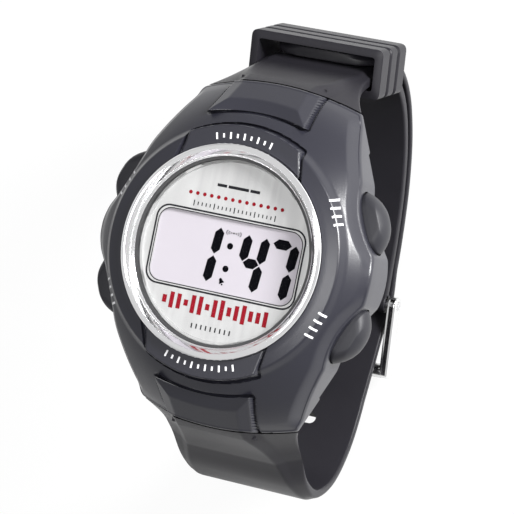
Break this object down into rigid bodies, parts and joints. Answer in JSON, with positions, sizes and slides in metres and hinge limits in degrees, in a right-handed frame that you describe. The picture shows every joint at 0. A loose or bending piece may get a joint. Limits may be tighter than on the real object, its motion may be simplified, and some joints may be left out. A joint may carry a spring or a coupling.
{
  "type": "talking digital wristwatch",
  "caption": "Talking digital wristwatch with a domed resin case, polished dial ring, side push buttons and a resin strap buckled into a closed loop.",
  "frame": {"origin": "centre of the case back's outer face", "axes": "+Z out of the dial, +Y to 12 o'clock, +X to 3 o'clock"},
  "size_m": [0.0432, 0.0703, 0.0536],
  "materials": {
    "case_resin": "satin moulded resin",
    "strap_resin": "satin moulded resin",
    "chromed_ring": "polished",
    "crystal": "clear",
    "black_rubber": "matt",
    "silver_dial": "fine vertical brushing",
    "display": "satin film",
    "contact_rubber": "matt",
    "ivory_plastic": "moulded",
    "board": "solder mask",
    "black_epoxy": "glossy drop",
    "spring_brass": "plain",
    "steel": "plain",
    "brushed_back": "brushed",
    "polished_steel": "polished"
  },
  "bodies": {
    "watch": {"case_shell": "case_resin", "dial_ring_polished": "chromed_ring", "crystal": "crystal", "crystal_gasket": "black_rubber", "dial_surround": "silver_dial", "dial_plate": "silver_dial", "display_panel": "display", "connector_strips": "contact_rubber", "movement_frame": "ivory_plastic", "circuit_board": "board", "chip_cover": "black_epoxy", "contact_leaves": "spring_brass", "coin_cell": "steel", "cell_clip": "steel", "sounder_disc": "spring_brass", "case_back": "brushed_back", "case_back_gasket": "black_rubber", "case_back_screws": "steel", "button_seals": "black_rubber", "strap_pins": "steel", "short_strap": "strap_resin", "long_strap": "strap_resin", "buckle_hinge_bar": "steel"},
    "keeper": {"keeper": "strap_resin"},
    "buckle": {"buckle_frame": "polished_steel"},
    "tongue": {"buckle_tongue": "polished_steel"},
    "button_talk": {"button_talk": "case_resin", "clip_talk": "steel"},
    "button_minute": {"button_minute": "case_resin", "clip_minute": "steel"},
    "button_hour": {"button_hour": "case_resin", "clip_hour": "steel"},
    "button_mode": {"button_mode": "case_resin", "clip_mode": "steel"}
  },
  "joints": [
    {"name": "push_talk", "type": "slide", "parent": "watch", "child": "button_talk", "axis": [-0.9171, -0.3987, 0], "range_m": [0, 0.0008], "stiffness_N_per_m": 600, "springref_m": -0.0006},
    {"name": "push_minute", "type": "slide", "parent": "watch", "child": "button_minute", "axis": [-0.9171, 0.3987, 0], "range_m": [0, 0.0008], "stiffness_N_per_m": 600, "springref_m": -0.0006},
    {"name": "push_hour", "type": "slide", "parent": "watch", "child": "button_hour", "axis": [0.9171, 0.3987, 0], "range_m": [0, 0.0008], "stiffness_N_per_m": 600, "springref_m": -0.0006},
    {"name": "push_mode", "type": "slide", "parent": "watch", "child": "button_mode", "axis": [0.9171, -0.3987, 0], "range_m": [0, 0.0008], "stiffness_N_per_m": 600, "springref_m": -0.0006},
    {"name": "keeper_slide", "type": "slide", "parent": "watch", "child": "keeper", "axis": [0, 0.2398, -0.9708], "range_m": [-0.0005, 0.0008]},
    {"name": "buckle_hinge", "type": "hinge", "parent": "watch", "child": "buckle", "pos_m": [0, -0.0034, -0.0358], "axis": [1, 0, 0], "range_deg": [0, 3]},
    {"name": "tongue_hinge", "type": "hinge", "parent": "buckle", "child": "tongue", "pos_m": [0, -0.0034, -0.0358], "axis": [1, 0, 0], "range_deg": [0, 3]}
  ]
}
